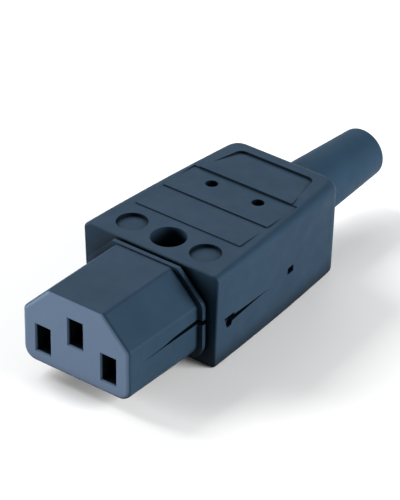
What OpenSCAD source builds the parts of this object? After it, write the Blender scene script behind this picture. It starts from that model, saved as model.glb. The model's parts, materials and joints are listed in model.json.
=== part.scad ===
// Rewireable straight cable connector: a three-slot mating nose, a grip body split into two
// half shells, screw-terminal contacts and a cord grip inside, and a bend sleeve at the cable end.
// Datum: the centre of the mating face, on the axis of the line and neutral contacts.
// +Y runs back to the cable, +X is right as seen facing the slots, and +Z is the keyed top side.

/* [Contact layout] */
// Distance between the line and neutral contact axes
pin_pitch = 14; // [13.6:0.1:14.4]
// Height of the earth contact axis above the line and neutral axis
earth_rise = 4; // [3.8:0.1:4.4]
// Width of a pin slot in the mating face
slot_w = 2.9; // [2.4:0.1:3.2]
// Height of a pin slot in the mating face
slot_h = 5; // [4.4:0.1:5.2]
// Depth of the lead-in chamfer round each slot
slot_lead = 0.3; // [0.1:0.05:0.5]

/* [Mating nose] */
// Width of the nose that enters the inlet
nose_w = 22.8; // [22.2:0.1:23.8]
// Height of the nose
nose_h = 15.4; // [15:0.1:15.9]
// Length of the nose in front of the body
nose_l = 19.6; // [18:0.1:24]
// Height of the line and neutral axis above the nose's underside
axis_h = 5; // [4.8:0.1:5.4]
// Size of the keying chamfer along each top edge of the nose
key_chamfer = 5.5; // [4.6:0.1:6]
// Rounding between the keying chamfers and the faces beside them
key_r = 1; // [0.4:0.1:1.6]
// Radius of the two lower long edges of the nose
nose_low_r = 2.4; // [1.2:0.1:3]
// Radius of the edge round the mating face
face_r = 0.8; // [0.4:0.1:1.2]
// Thickness of the wall behind the mating face
face_wall = 1.8; // [1.4:0.1:2.4]
// Thickness of the nose's outer walls beside the core pockets
nose_wall = 1.6; // [1.2:0.1:2]

/* [Collar] */
// Length of the stop collar round the root of the nose
collar_l = 1.5; // [0.8:0.1:2.4]
// How far the collar stands out beyond the sides of the nose
collar_out = 1; // [0.5:0.1:1.4]
// How far the collar stands above the top of the nose
collar_up = 0.25; // [0.1:0.05:0.4]
// How far the collar hangs below the underside of the nose
collar_down = 0.6; // [0.3:0.1:0.9]

/* [Body] */
// Width of the body at its top edge, at the shoulder
body_w = 28.9; // [28:0.1:32]
// Length of the body from the shoulder to the rear face
body_l = 38.8; // [38.4:0.1:44]
// Height of the body's top above the top of the nose
body_rise = 0.5; // [0.45:0.05:1.5]
// Depth of the body's underside below the underside of the nose
body_drop = 2.5; // [1.2:0.1:3]
// Height of the parting plane above the nose's underside
parting_h = 6.5; // [6.2:0.1:7]
// How much each side draws in from the shoulder to the rear face
rear_taper = 2.8; // [1:0.1:3]
// How far each side bulges halfway along that taper
side_bow = 0.35; // [0:0.05:0.6]
// How much each side leans in from the top to the underside
side_lean = 0.6; // [0:0.05:0.8]
// Thickness of the shell walls
shell_wall = 1.8; // [1.4:0.1:2]
// Rounding of the body's top edges at the shoulder
top_front_r = 1.2; // [0.8:0.1:2]
// Rounding of the body's top edges at the rear face
top_rear_r = 2.1; // [1:0.1:2.4]
// Rounding of the body's lower edges
low_edge_r = 0.8; // [0.4:0.1:1.6]
// Radius of the two rear corners seen from above
rear_corner_r = 3.2; // [2.4:0.1:4]
// Rounding of the edge round the front shoulder
shoulder_r = 0.4; // [0.2:0.1:0.8]

/* [Finger grips] */
// Distance from the shoulder to the first grip step
grip_start = 10; // [9:0.1:11]
// Length of the first ramp
ramp_1_l = 7.6; // [6:0.1:8]
// Length of the second ramp
ramp_2_l = 8.6; // [7:0.1:8.8]
// Length of the sunk panel behind the third step
panel_l = 9.2; // [6:0.1:9.4]
// Width of the two ramps
ramp_w = 22.4; // [16:0.1:22.6]
// Width of the sunk panel along its front edge
panel_front_w = 20; // [16:0.1:22]
// Width of the sunk panel at its rear wall
panel_w = 16.6; // [12:0.1:18]
// Radius of the sunk panel's rear corners
panel_r = 1.5; // [0.5:0.1:3]
// Height of each step's lip above the top
grip_lift = 0.2; // [0.1:0.05:0.4]
// Depth of the first ramp where it meets the second step
ramp_1_sink = 0.05; // [0.05:0.05:0.4]
// Depth of the second ramp where it meets the third step
ramp_2_sink = 0.2; // [0.1:0.05:0.5]
// Depth of the sunk panel at its rear wall
panel_sink = 0.45; // [0.3:0.05:0.8]
// Width of the sunk grips on the underside
under_grip_w = 16; // [10:0.1:17]
// Depth of each underside grip at its rear wall
under_grip_sink = 0.5; // [0.2:0.1:0.6]
// Distance of each blank round recess from the centre line
recess_x = 7.9; // [7.4:0.1:9]
// Diameter of the blank round recesses
recess_d = 5.6; // [3:0.1:6]
// Depth of the blank round recesses
recess_depth = 0.6; // [0.3:0.1:0.8]

/* [Side notches] */
// Distance from the shoulder to the pry notch
pry_y = 2.4; // [2:0.1:4]
// Width of the pry notch at the parting plane
pry_w = 2.8; // [2:0.1:3.2]
// Width of the pry notch at its lower end
pry_low_w = 1.2; // [0.6:0.1:1.6]
// Height of the pry notch below the parting plane
pry_h = 2.2; // [1.5:0.1:2.6]
// Distance from the shoulder to the rear notch
rear_notch_y = 21.4; // [18:0.1:22]
// Length of the rear notch
rear_notch_l = 1.8; // [1.2:0.1:2.4]
// Height of the rear notch below the parting plane
rear_notch_h = 1.3; // [0.8:0.1:1.6]
// Depth of all side notches into the wall
notch_depth = 1; // [0.5:0.1:1.2]

/* [Housing screw] */
// Distance of the housing screw behind the shoulder
screw_back = 5; // [4.9:0.1:5.4]
// Diameter of the screw hole seen on top
screw_hole_d = 6.4; // [6:0.1:6.6]
// Thickness of plastic under the screw head, above the parting plane
screw_seat = 1.5; // [1.2:0.1:2.4]
// Diameter of the housing screw's shank
screw_d = 3; // [2.5:0.1:3]
// Height of the housing screw's head
screw_head_h = 2.2; // [1.6:0.1:2.6]
// Wall round the screw hole inside the body
tower_wall = 1.1; // [0.8:0.1:1.2]
// Width of the hexagonal nut across its flats
nut_af = 5.5; // [5:0.1:6]
// Thickness of the nut
nut_h = 2.4; // [1.8:0.1:2.8]
// Depth of the nut's lower face inside the underside
nut_inset = 0.6; // [0.3:0.1:1]

/* [Contacts] */
// Thickness of the contact sheet
sheet_t = 0.6; // [0.4:0.05:0.7]
// Thickness of the pin that the contact grips
pin_t = 2; // [1.8:0.1:2.1]
// How much narrower than the pin the relaxed contact is
grip_bite = 0.2; // [0.1:0.05:0.3]
// Height of the contact leaves
leaf_h = 4.6; // [4:0.1:4.8]
// Distance from the mating face to the mouth of the contact leaves
leaf_y = 3.8; // [2.6:0.1:4.2]
// Length of the leaves from their mouth to the end of the fold
leaf_l = 13; // [12:0.1:13.4]
// Thickness of the steel over-spring
spring_t = 0.35; // [0.25:0.05:0.45]
// Length of the steel over-spring
spring_l = 2.6; // [2:0.1:2.8]

/* [Terminals] */
// Gap between the line and neutral terminals and what is beside them
terminal_gap = 0.6; // [0.4:0.1:0.8]
// Distance of the earth terminal screw behind the shoulder
earth_terminal_back = 16.4; // [15.4:0.1:16.8]
// Width of a terminal pad
pad_w = 6.2; // [5.6:0.1:6.4]
// Length of a terminal pad
pad_l = 6.6; // [5.6:0.1:6.8]
// Diameter of the threaded collar on a terminal pad
thread_collar_d = 4.8; // [4.2:0.1:5]
// Height of the threaded collar
thread_collar_h = 1.5; // [1:0.1:1.6]
// Diameter of a terminal screw
terminal_screw_d = 3; // [2.5:0.1:3]
// Diameter of a terminal screw's head
terminal_head_d = 5.2; // [4.6:0.1:5.4]
// Height of a terminal screw's head
terminal_head_h = 1.7; // [1.2:0.1:1.8]
// Side of the square clamp washer
washer_w = 5.6; // [5:0.1:5.8]
// Thickness of the clamp washer
washer_t = 0.8; // [0.5:0.1:1]

/* [Cord grip] */
// Distance of the cord grip screws behind the shoulder
cord_grip_back = 23.2; // [23:0.1:24]
// Distance between the cord grip screws
cord_grip_pitch = 10; // [9.4:0.1:10.4]
// Diameter of the cord grip screws
cord_screw_d = 2.2; // [2:0.1:2.6]
// Diameter of the cord grip screw heads
cord_head_d = 4.8; // [4:0.1:5]
// Height of the cord grip screw heads
cord_head_h = 1.5; // [1:0.1:1.8]
// Diameter of the bosses for the cord grip screws
boss_d = 5.4; // [4.6:0.1:5.6]
// Gap between the bosses and the top of the bar, centred on the cable axis
grip_gap = 3.2; // [2.6:0.1:4]
// Thickness of the cord grip bar
bar_h = 3.4; // [3:0.1:3.6]
// Width of the cord grip bar along the cable
bar_l = 5.6; // [5:0.1:5.6]
// Diameter of the largest cable that the connector takes
cable_d = 7.6; // [6.4:0.1:7.8]

/* [Bend sleeve] */
// Length of the sleeve outside the body
sleeve_l = 22.6; // [18:0.1:34]
// Outer diameter of the sleeve where it leaves the body
sleeve_d = 11.9; // [11.6:0.1:12.4]
// Outer diameter of the sleeve at its free end
sleeve_tip_d = 9.4; // [9.2:0.1:11.4]
// Rounding of the sleeve's free end
sleeve_tip_r = 0.6; // [0.2:0.05:0.6]
// Diameter of the sleeve's neck inside the rear wall
neck_d = 11.2; // [10.8:0.1:11.4]
// Diameter of the flange that holds the sleeve in the shells
flange_d = 13.4; // [12.6:0.1:13.6]
// Thickness of the flange
flange_t = 2; // [1.4:0.1:2.4]
// Thickness of the rear wall behind the flange
rear_lip = 3; // [2.4:0.1:3.6]
// Thickness of the inner wall in front of the flange
inner_wall = 1.6; // [1.2:0.1:2]

/* [Clearances] */
// Radial play between the sleeve and the shells
sleeve_gap = 0.1; // [0.05:0.05:0.2]
// Radial play between the cable and the sleeve
cable_gap = 0.1; // [0.05:0.05:0.2]
// Radial play of a screw in its thread
thread_gap = 0.05; // [0.02:0.01:0.08]
// Radial play of a screw in a plain hole
screw_gap = 0.2; // [0.1:0.05:0.3]
// Play round screw heads, the nut and the thread collars
seat_gap = 0.2; // [0.1:0.05:0.3]
// Play between the contacts and the walls of their chambers
chamber_gap = 0.45; // [0.3:0.05:0.5]

/* [Hidden] */
$fn = 72;

plastic_color = "#3a4c5c";
sleeve_color = "#374a5a";
bar_color = "#2c3944";
brass_color = "#c9a34e";
steel_color = "#b9bec4";

// Cutters run this far past the faces that they open
over = 1;
// Points along a quarter circle in the computed outlines
quarter = 8;

// Heights and lengths that follow from the driving sizes
nose_bottom = -axis_h;
nose_top = nose_bottom + nose_h;
body_top = nose_top + body_rise;
body_bottom = nose_bottom - body_drop;
part_z = nose_bottom + parting_h;
roof_z = body_top - shell_wall;
shoulder_y = nose_l;
rear_y = nose_l + body_l;
cavity_y0 = shoulder_y + shell_wall;
cavity_y1 = rear_y - rear_lip - flange_t - 2 * sleeve_gap - inner_wall;

// Positions of the three contacts as [x, z]
line_at = [pin_pitch / 2, 0];
neutral_at = [-pin_pitch / 2, 0];
earth_at = [0, earth_rise];
contact_axes = [line_at, neutral_at, earth_at];

// Contact section: half widths of the relaxed leaves, and the chamber round them
nip_half = (pin_t - grip_bite) / 2;
mouth_half = nip_half + 0.6;
back_half = nip_half + 0.3;
nip_y0 = leaf_y + 1.8;
nip_y1 = nip_y0 + 3;
fold_y0 = nip_y1 + 2;
leaf_y1 = leaf_y + leaf_l;
base_half = back_half + sheet_t;
web_gap = 0.1;
spring_half = nip_half + sheet_t + spring_t;
spring_top = leaf_h / 2 + web_gap + spring_t;
chamber_half = spring_half + chamber_gap;
chamber_top = max(spring_top, leaf_h / 2 + sheet_t) + web_gap * 2;
chamber_low = -leaf_h / 2 - web_gap * 2;
chamber_wall = 1;

// Housing screw, and the earth contact's eye round its tower
screw_y = shoulder_y + screw_back;
tower_r = screw_hole_d / 2 + tower_wall;
eye_in_r = tower_r + seat_gap;
eye_out_r = eye_in_r + 1.5;
seat_z = part_z + screw_seat;
nut_z0 = body_bottom + nut_inset;
nut_z1 = nut_z0 + nut_h;

// Terminals: the line and neutral ones lie against the side walls, clear of the shoulder and the eye
seat_in_r = thread_collar_d / 2 + seat_gap;
seat_out_r = seat_in_r + 0.8;
side_terminal_x = wall_x(shoulder_y + earth_terminal_back, part_z) - terminal_gap - pad_w / 2;
eye_reach = eye_out_r + terminal_gap + seat_out_r;
side_terminal_y = max(cavity_y0 + terminal_gap + pad_l / 2,
    screw_y + sqrt(max(0, eye_reach * eye_reach - side_terminal_x * side_terminal_x)));
earth_terminal = [0, shoulder_y + earth_terminal_back];
terminal_tip = 0.6;

// Cord grip and cable
cord_grip_y = shoulder_y + cord_grip_back;
boss_z = part_z + grip_gap / 2;
bar_top = part_z - grip_gap / 2;
bar_z = bar_top - bar_h;
cord_tip = 1.5;
bore_r = cable_d / 2 + cable_gap;

// Sleeve stations along Y
flange_y1 = rear_y - rear_lip;
flange_y0 = flange_y1 - flange_t;
groove_y0 = flange_y0 - 2 * sleeve_gap;
sleeve_y0 = cavity_y1 + 2 * sleeve_gap;
sleeve_y1 = rear_y + sleeve_l;

// Grip stations along Y
grip_1_y = shoulder_y + grip_start;
grip_2_y = grip_1_y + ramp_1_l;
grip_3_y = grip_2_y + ramp_2_l;
panel_y1 = grip_3_y + panel_l;
grip_base = 1;

// Points of an arc round c from angle a0 to a1
function arc(c, r, a0, a1, n = quarter) =
    [for (i = [0:n]) let (a = a0 + (a1 - a0) * i / n) [c[0] + r * cos(a), c[1] + r * sin(a)]];

// How far a quarter round of radius r has drawn in at a depth d before its end
function round_in(r, d) = d >= r ? 0 : r - sqrt(max(0, r * r - (r - d) * (r - d)));

// Outline of the nose in X and Z, drawn in by inset
function nose_outline(inset = 0) =
    let (half = nose_w / 2 - inset, lo = nose_bottom + inset, hi = nose_top - inset,
        c = key_chamfer - inset * (2 - sqrt(2)), low_r = max(0.2, nose_low_r - inset),
        top_r = max(0.1, key_r - inset), t = top_r * tan(22.5))
    concat(
        arc([-half + low_r, lo + low_r], low_r, 180, 270),
        arc([half - low_r, lo + low_r], low_r, 270, 360),
        arc([half - top_r, hi - c - t], top_r, 0, 45, 4),
        arc([half - c - t, hi - top_r], top_r, 45, 90, 4),
        arc([-half + c + t, hi - top_r], top_r, 90, 135, 4),
        arc([-half + top_r, hi - c - t], top_r, 135, 180, 4));

// Outer half width of the body at y and z, before its edges are rounded
function side_x(y, z) =
    let (t = (y - shoulder_y) / body_l)
    body_w / 2 - rear_taper * t + 4 * side_bow * t * (1 - t)
        - side_lean * (body_top - z) / (body_top - body_bottom);

// Half width of the room between the side walls at y and z
function wall_x(y, z) = side_x(y, z) - shell_wall;

// Outline of the body in X and Z at y, drawn in by inset
function body_outline(y, inset = 0) =
    let (front = round_in(shoulder_r, y - shoulder_y),
        side = front + inset + round_in(rear_corner_r, rear_y - y),
        high = side_x(y, body_top) - side, low = side_x(y, body_bottom) - side,
        edge_r = top_front_r + (top_rear_r - top_front_r) * (y - shoulder_y) / body_l,
        hi = body_top - front - inset - round_in(top_rear_r, rear_y - y),
        lo = body_bottom + front + inset + round_in(low_edge_r, rear_y - y),
        top_r = max(0.2, edge_r - inset), low_r = max(0.2, low_edge_r - inset))
    concat(
        arc([-low + low_r, lo + low_r], low_r, 180, 270),
        arc([low - low_r, lo + low_r], low_r, 270, 360),
        arc([high - top_r, hi - top_r], top_r, 0, 90),
        arc([-high + top_r, hi - top_r], top_r, 90, 180));

// An outline in X and Z set up as a ring of points at y
function ring(y, outline) = [for (p = outline) [p[0], y, p[1]]];

// Solid through a row of rings that have equally many points
module loft(rings) {
    n = len(rings[0]);
    last = len(rings) - 1;
    polyhedron(
        points = [for (r = rings) each r],
        faces = concat(
            [[for (i = [n - 1:-1:0]) i]],
            [for (k = [0:last - 1], i = [0:n - 1])
                [k * n + i, k * n + (i + 1) % n, (k + 1) * n + (i + 1) % n, (k + 1) * n + i]],
            [[for (i = [0:n - 1]) last * n + i]]),
        convexity = 6);
}

// Prism of an outline in X and Z between two stations on Y
module prism(y0, y1, outline) {
    translate([0, y1, 0]) rotate([90, 0, 0]) linear_extrude(y1 - y0) polygon(outline);
}

// Prism of a profile in Y and Z, centred on X
module side_prism(width, profile) {
    rotate([90, 0, 90]) linear_extrude(width, center = true) polygon(profile);
}

// Box between two corners
module block(low, high) {
    translate(low) cube(high - low);
}

// Cylinder along Z between two heights
module post(at, r, z0, z1) {
    translate([at[0], at[1], z0]) cylinder(r = r, h = z1 - z0);
}

// Everything above or below the parting plane
module above_parting() {
    block([-body_w, -over, part_z], [body_w, rear_y + over, body_top + over]);
}
module below_parting() {
    block([-body_w, -over, body_bottom - over], [body_w, rear_y + over, part_z]);
}

// Nose with its rounded front edge
module nose_blank() {
    steps = 5;
    loft(concat(
        [for (k = [0:steps]) let (a = 90 * k / steps)
            ring(face_r * (1 - cos(a)), nose_outline(face_r * (1 - sin(a))))],
        [ring(cavity_y0, nose_outline())]));
}

// Stop collar: the nose's outline drawn out, and cut level just above and below the nose
module collar_blank() {
    intersection() {
        prism(shoulder_y - collar_l, cavity_y0, nose_outline(-collar_out));
        block([-body_w, 0, nose_bottom - collar_down], [body_w, cavity_y0, nose_top + collar_up]);
    }
}

// Stations along the body between its ends
body_stations = [for (k = [1:6]) shoulder_y + shell_wall + k / 7 * (cavity_y1 - cavity_y0)];

// Body: widest at the shoulder, drawn in towards the cable, with rounded edges
module body_blank() {
    front = [for (k = [0:3]) shoulder_y + shoulder_r * (1 - cos(30 * k))];
    rear = [for (a = [0:9:90]) rear_y - rear_corner_r * (1 - sin(a))];
    loft([for (y = concat(front, body_stations, rear)) ring(y, body_outline(y))]);
}

// Wiring chamber inside the body
module cavity() {
    loft([for (y = concat([cavity_y0], body_stations, [cavity_y1])) ring(y, body_outline(y, shell_wall))]);
}

// Plan of a grip zone between two stations: width at the front, width at the rear, rear corner radius
module grip_plan(y0, y1, w0, w1, r) {
    polygon(concat([[-w0 / 2, y0], [w0 / 2, y0]],
        r > 0 ? arc([w1 / 2 - r, y1 - r], r, 0, 90) : [[w1 / 2, y1]],
        r > 0 ? arc([-w1 / 2 + r, y1 - r], r, 90, 180) : [[-w1 / 2, y1]]));
}

// Grip zones as [front, rear, front width, rear width, corner radius, sink at the rear]
grip_zones = [
    [grip_1_y, grip_2_y, ramp_w, ramp_w, 0, ramp_1_sink],
    [grip_2_y, grip_3_y, ramp_w, ramp_w, 0, ramp_2_sink],
    [grip_3_y, panel_y1, panel_front_w, panel_w, panel_r, panel_sink]];

// Raised stock that the ramps are cut from
module grip_stock() {
    for (g = grip_zones) translate([0, 0, body_top - grip_base]) linear_extrude(grip_base + grip_lift)
        grip_plan(g[0], g[1], g[2], g[3], g[4]);
}

// Space over one ramp, which falls from the lip in front to its sink at the rear
module grip_cut(g) {
    intersection() {
        translate([0, 0, body_top - grip_base]) linear_extrude(2 * grip_base)
            grip_plan(g[0], g[1], g[2], g[3], g[4]);
        side_prism(body_w, [[g[0], body_top + grip_lift], [g[1], body_top - g[5]],
            [g[1], body_top + grip_base], [g[0], body_top + grip_base]]);
    }
}

// Space under one sunk ramp of the underside
module under_grip_cut(g) {
    intersection() {
        translate([0, 0, body_bottom - grip_base]) linear_extrude(2 * grip_base)
            grip_plan(g[0], g[1], under_grip_w, under_grip_w, panel_r);
        side_prism(body_w, [[g[0], body_bottom], [g[1], body_bottom + under_grip_sink],
            [g[1], body_bottom - grip_base], [g[0], body_bottom - grip_base]]);
    }
}

// Pin slot with its lead-in
module pin_slot(at) {
    translate([at[0] - slot_w / 2, -over, at[1] - slot_h / 2]) cube([slot_w, face_wall + 2 * over, slot_h]);
    loft([for (s = [[-over, slot_lead + over], [slot_lead, 0]])
        ring(s[0], [for (c = [[-1, -1], [1, -1], [1, 1], [-1, 1]])
            [at[0] + c[0] * (slot_w / 2 + s[1]), at[1] + c[1] * (slot_h / 2 + s[1])]])]);
}

// Chamber behind a slot that houses a contact and its spring
module contact_chamber(at) {
    block([at[0] - chamber_half, face_wall, at[1] + chamber_low],
        [at[0] + chamber_half, cavity_y0 + over, at[1] + chamber_top]);
}

// Core pocket in each upper corner of the nose, which keeps the walls even
module core_pockets() {
    x0 = chamber_half + chamber_wall;
    z0 = chamber_top + chamber_wall;
    intersection() {
        prism(face_wall, shoulder_y - collar_l, nose_outline(nose_wall));
        for (side = [-1, 1]) translate([side * (x0 + nose_w / 4), 0, 0])
            block([-nose_w / 4, 0, z0], [nose_w / 4, nose_l, nose_top]);
    }
}

// Room for the eye of the earth contact where it passes through the shoulder
module eye_relief() {
    z0 = earth_at[1] + leaf_h / 2;
    translate([0, screw_y, z0 - web_gap]) cylinder(r = eye_out_r + seat_gap, h = sheet_t + 2 * web_gap);
}

// Hollow that the bend sleeve sits in: inner bore, flange groove and rear bore
module sleeve_socket() {
    translate([0, rear_y + over, part_z]) rotate([90, 0, 0])
        cylinder(r = neck_d / 2 + sleeve_gap, h = rear_y - cavity_y1 + 2 * over);
    translate([0, flange_y1, part_z]) rotate([90, 0, 0])
        cylinder(r = flange_d / 2 + sleeve_gap, h = flange_y1 - groove_y0);
}

// Notches on both sides: a pry notch at the front and a small rectangular one at the rear
module side_notches() {
    y0 = shoulder_y + pry_y;
    slope = (pry_w - pry_low_w) / 2;
    y1 = shoulder_y + rear_notch_y;
    for (side = [-1, 1]) {
        translate([side * side_x(y0, part_z), 0, 0])
            side_prism(2 * notch_depth, [[y0, part_z], [y0 + pry_w, part_z],
                [y0 + pry_w - slope, part_z - pry_h], [y0 + slope, part_z - pry_h]]);
        translate([side * side_x(y1, part_z), 0, 0])
            block([-notch_depth, y1, part_z - rear_notch_h], [notch_depth, y1 + rear_notch_l, part_z]);
    }
}

// Outside of the two closed shells together
module outside() {
    difference() {
        union() {
            nose_blank();
            collar_blank();
            body_blank();
            grip_stock();
        }
        for (g = grip_zones) {
            grip_cut(g);
            under_grip_cut(g);
        }
        for (side = [-1, 1])
            post([side * recess_x, screw_y], recess_d / 2, body_top - recess_depth, body_top + over);
        side_notches();
    }
}

// Hollows that both shells share
module shared_hollows() {
    cavity();
    for (at = contact_axes) {
        pin_slot(at);
        contact_chamber(at);
    }
    core_pockets();
    sleeve_socket();
}

module upper_shell() {
    color(plastic_color) difference() {
        union() {
            intersection() {
                difference() {
                    outside();
                    shared_hollows();
                    eye_relief();
                }
                above_parting();
            }
            post([0, screw_y], tower_r, part_z, roof_z + shell_wall / 2);
            // seats that the terminal pads rest on
            for (side = [-1, 1])
                post([side * side_terminal_x, side_terminal_y], seat_out_r, leaf_h / 2 + sheet_t,
                    roof_z + shell_wall / 2);
            post(earth_terminal, seat_out_r, earth_rise + leaf_h / 2 + sheet_t, roof_z + shell_wall / 2);
            // bosses for the cord grip screws, joined by a saddle for the cable
            for (side = [-1, 1])
                post([side * cord_grip_pitch / 2, cord_grip_y], boss_d / 2, boss_z,
                    roof_z + shell_wall / 2);
            block([-cord_grip_pitch / 2, cord_grip_y - boss_d / 4, boss_z],
                [cord_grip_pitch / 2, cord_grip_y + boss_d / 4, roof_z + shell_wall / 2]);
        }
        post([0, screw_y], screw_hole_d / 2, seat_z, body_top + over);
        post([0, screw_y], screw_d / 2 + screw_gap, part_z - over, seat_z + over);
        for (side = [-1, 1]) {
            post([side * side_terminal_x, side_terminal_y], seat_in_r, leaf_h / 2 + sheet_t - over, roof_z);
            post([side * cord_grip_pitch / 2, cord_grip_y], cord_screw_d / 2 + thread_gap, boss_z - over,
                body_top + over);
        }
        post(earth_terminal, seat_in_r, earth_rise + leaf_h / 2 + sheet_t - over, roof_z);
        // the cable's own space through the bosses and the saddle
        translate([0, cord_grip_y + boss_d, part_z]) rotate([90, 0, 0])
            cylinder(r = bore_r, h = 2 * boss_d);
    }
}

module lower_shell() {
    lip_t = 0.8;
    lip_up = 1.2;
    lip_y = [side_terminal_y + pad_l / 2 + lip_t, cord_grip_y];
    lip_x = [for (y = lip_y) wall_x(y, part_z) - seat_gap];
    color(plastic_color) difference() {
        union() {
            intersection() {
                difference() {
                    outside();
                    shared_hollows();
                }
                below_parting();
            }
            post([0, screw_y], tower_r, body_bottom + shell_wall / 2, part_z);
            // lips that stand up inside the upper shell's side walls and line the halves up
            for (side = [0, 1]) mirror([side, 0, 0]) translate([0, 0, body_bottom + shell_wall / 2])
                linear_extrude(part_z + lip_up - body_bottom - shell_wall / 2)
                    polygon([[lip_x[0] - lip_t, lip_y[0]], [lip_x[0], lip_y[0]],
                        [lip_x[1], lip_y[1]], [lip_x[1] - lip_t, lip_y[1]]]);
        }
        post([0, screw_y], screw_d / 2 + screw_gap, body_bottom - over, part_z + over);
        translate([0, screw_y, body_bottom - over])
            cylinder(r = (nut_af / 2 + seat_gap) / cos(30), h = nut_z1 - body_bottom + over, $fn = 6);
    }
}

// One leaf of a contact in plan: a flared mouth, a parallel nip and a wider back
module leaf_plan() {
    inner = [[mouth_half, leaf_y], [nip_half, nip_y0], [nip_half, nip_y1], [back_half, fold_y0],
        [back_half, leaf_y1]];
    polygon(concat(inner, [for (i = [len(inner) - 1:-1:0]) inner[i] + [sheet_t, 0]]));
}

// The two leaves of a contact, round its axis
module leaves() {
    for (side = [0, 1]) mirror([side, 0, 0]) translate([0, 0, -leaf_h / 2])
        linear_extrude(leaf_h) leaf_plan();
}

// Threaded collar of a terminal pad, and the hole through both
module thread_collar(at, z) {
    post(at, thread_collar_d / 2, z, z + sheet_t + thread_collar_h);
}
module thread_hole(at, z) {
    post(at, terminal_screw_d / 2 + thread_gap, z - over, z + sheet_t + thread_collar_h + over);
}

// Line or neutral contact: leaves, a straight strip and a terminal pad set outwards
module side_contact(side) {
    z = leaf_h / 2;
    terminal = [side * side_terminal_x, side_terminal_y];
    color(brass_color) difference() {
        union() {
            translate([side * pin_pitch / 2, 0, 0]) {
                leaves();
                block([-base_half, fold_y0, z], [base_half, side_terminal_y, z + sheet_t]);
            }
            block([terminal[0] - pad_w / 2, terminal[1] - pad_l / 2, z],
                [terminal[0] + pad_w / 2, terminal[1] + pad_l / 2, z + sheet_t]);
            thread_collar(terminal, z);
        }
        thread_hole(terminal, z);
    }
}
module contact_line() { side_contact(1); }
module contact_neutral() { side_contact(-1); }

// Earth contact: its strip widens to an eye round the screw tower on the way to its terminal
module contact_earth() {
    z = earth_at[1] + leaf_h / 2;
    color(brass_color) difference() {
        union() {
            translate([0, 0, earth_at[1]]) leaves();
            block([-base_half, fold_y0, z], [base_half, earth_terminal[1], z + sheet_t]);
            post([0, screw_y], eye_out_r, z, z + sheet_t);
            block([-pad_w / 2, earth_terminal[1] - pad_l / 2, z],
                [pad_w / 2, earth_terminal[1] + pad_l / 2, z + sheet_t]);
            thread_collar(earth_terminal, z);
        }
        post([0, screw_y], eye_in_r, z - over, z + sheet_t + over);
        thread_hole(earth_terminal, z);
    }
}

// Steel over-spring: a short channel that presses the two leaves together
module over_spring(at) {
    y0 = nip_y0 + (nip_y1 - nip_y0 - spring_l) / 2;
    leg = nip_half + sheet_t;
    color(steel_color) translate([at[0], 0, at[1]]) difference() {
        block([-spring_half, y0, -leaf_h / 2 + 0.2], [spring_half, y0 + spring_l, spring_top]);
        block([-leg, y0 - over, -leaf_h / 2 - over], [leg, y0 + spring_l + over, leaf_h / 2 + web_gap]);
    }
}
module spring_line() { over_spring(line_at); }
module spring_neutral() { over_spring(neutral_at); }
module spring_earth() { over_spring(earth_at); }

// Square clamp washer under a terminal pad, with a chamfer along two of its lower edges
module clamp_washer(at, z) {
    chamfer = 0.6;
    color(brass_color) difference() {
        translate([at[0] - washer_w / 2, at[1] - washer_w / 2, z - washer_t])
            cube([washer_w, washer_w, washer_t]);
        post(at, terminal_screw_d / 2 + screw_gap, z - washer_t - over, z + over);
        for (side = [-1, 1]) translate([at[0], at[1] + side * washer_w / 2, z - washer_t])
            rotate([45, 0, 0]) cube([washer_w + over, chamfer, chamfer], center = true);
    }
}
module clamp_washer_line() { clamp_washer([side_terminal_x, side_terminal_y], leaf_h / 2); }
module clamp_washer_neutral() { clamp_washer([-side_terminal_x, side_terminal_y], leaf_h / 2); }
module clamp_washer_earth() { clamp_washer(earth_terminal, earth_rise + leaf_h / 2); }

// Screw that points up: head_z is the face of the head that bears, tip_z the end of the shank
module screw_up(at, d, head_d, head_h, head_z, tip_z) {
    point = d / 5;
    drive_l = head_d * 0.62;
    drive_w = d * 0.28;
    color(steel_color) difference() {
        union() {
            post(at, head_d / 2, head_z - head_h, head_z);
            post(at, d / 2, head_z, tip_z - point);
            translate([at[0], at[1], tip_z - point]) cylinder(r1 = d / 2, r2 = d / 2 - point, h = point);
        }
        for (turn = [0, 90]) translate([at[0], at[1], head_z - head_h]) rotate([0, 0, turn])
            cube([drive_l, drive_w, head_h], center = true);
    }
}

// Terminal screw below a pad at height z, through the washer into the thread collar
module terminal_screw(at, z) {
    screw_up(at, terminal_screw_d, terminal_head_d, terminal_head_h, z - washer_t,
        z + sheet_t + thread_collar_h + terminal_tip);
}
module terminal_screw_line() { terminal_screw([side_terminal_x, side_terminal_y], leaf_h / 2); }
module terminal_screw_neutral() { terminal_screw([-side_terminal_x, side_terminal_y], leaf_h / 2); }
module terminal_screw_earth() { terminal_screw(earth_terminal, earth_rise + leaf_h / 2); }

// Cord grip bar: a saddle under the cable with round ends and two ridges that bite the sheath
module cord_grip_bar() {
    ridge = 0.5;
    color(bar_color) translate([0, cord_grip_y, 0]) difference() {
        union() {
            difference() {
                union() {
                    block([-cord_grip_pitch / 2, -bar_l / 2, bar_z],
                        [cord_grip_pitch / 2, bar_l / 2, bar_top]);
                    for (side = [-1, 1]) post([side * cord_grip_pitch / 2, 0], bar_l / 2, bar_z, bar_top);
                }
                translate([0, bar_l, part_z]) rotate([90, 0, 0]) cylinder(r = bore_r, h = 2 * bar_l);
            }
            for (side = [-1, 1])
                block([-cord_grip_pitch / 4, side * bar_l / 4 - ridge / 2, bar_z + ridge],
                    [cord_grip_pitch / 4, side * bar_l / 4 + ridge / 2, part_z - bore_r + ridge]);
        }
        for (side = [-1, 1]) {
            post([side * cord_grip_pitch / 2, 0], cord_screw_d / 2 + screw_gap, bar_z - over, bar_top + over);
            post([side * cord_grip_pitch / 2, 0], cord_head_d / 2 + seat_gap, bar_z - over,
                bar_z + cord_head_h);
        }
    }
}
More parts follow.
